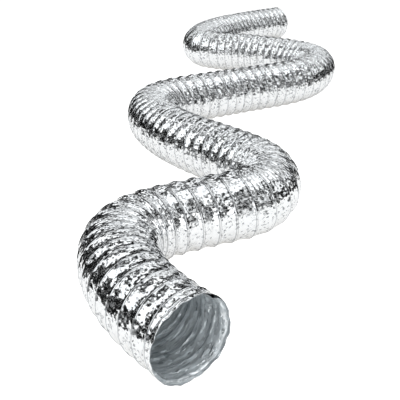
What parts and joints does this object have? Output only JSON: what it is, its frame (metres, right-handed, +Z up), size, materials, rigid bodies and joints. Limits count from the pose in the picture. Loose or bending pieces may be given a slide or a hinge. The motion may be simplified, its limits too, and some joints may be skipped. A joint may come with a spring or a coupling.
{
  "type": "flexible foil duct hose",
  "caption": "Flexible aluminium foil duct with a sprung wire helix in its wall, pulled out and laid in an S line, open at both ends to slip over round collars.",
  "frame": {"origin": "under the middle of the laid-out hose, on the surface it lies on", "axes": "+Z up from the surface, +Y from the near mouth towards the far end, +X to the right seen from the near mouth"},
  "size_m": [0.5021, 1.9249, 0.104],
  "materials": {
    "outer_foil": "bright crinkled foil",
    "wire_helix": "drawn spring-steel wire",
    "inner_foil": "crinkled foil, duller than outside"
  },
  "bodies": {
    "mouth": {"outer_foil_mouth_length": "outer_foil", "wire_helix_mouth_length": "wire_helix", "inner_foil_mouth_length": "inner_foil", "outer_foil_mouth_bend": "outer_foil", "wire_helix_mouth_bend": "wire_helix", "inner_foil_mouth_bend": "inner_foil"},
    "front": {"outer_foil_front_length": "outer_foil", "wire_helix_front_length": "wire_helix", "inner_foil_front_length": "inner_foil"},
    "back": {"outer_foil_middle_bend": "outer_foil", "wire_helix_middle_bend": "wire_helix", "inner_foil_middle_bend": "inner_foil", "outer_foil_back_length": "outer_foil", "wire_helix_back_length": "wire_helix", "inner_foil_back_length": "inner_foil"},
    "far": {"outer_foil_far_bend": "outer_foil", "wire_helix_far_bend": "wire_helix", "inner_foil_far_bend": "inner_foil", "outer_foil_far_length": "outer_foil", "wire_helix_far_length": "wire_helix", "inner_foil_far_length": "inner_foil"}
  },
  "joints": [
    {"name": "mouth_bend", "type": "hinge", "parent": "front", "child": "mouth", "pos_m": [-0.1894, -0.6988, 0.052], "axis": [0, 0, -1], "range_deg": [-10, 35], "deforming": ["outer_foil_mouth_bend", "wire_helix_mouth_bend", "inner_foil_mouth_bend"]},
    {"name": "middle_bend", "type": "hinge", "parent": "front", "child": "back", "pos_m": [-0.1817, -0.1012, 0.052], "axis": [0, 0, 1], "range_deg": [-10, 35], "deforming": ["outer_foil_middle_bend", "wire_helix_middle_bend", "inner_foil_middle_bend"]},
    {"name": "far_bend", "type": "hinge", "parent": "back", "child": "far", "pos_m": [-0.0806, 0.4971, 0.052], "axis": [0, 0, 1], "range_deg": [-10, 35], "deforming": ["outer_foil_far_bend", "wire_helix_far_bend", "inner_foil_far_bend"]}
  ]
}
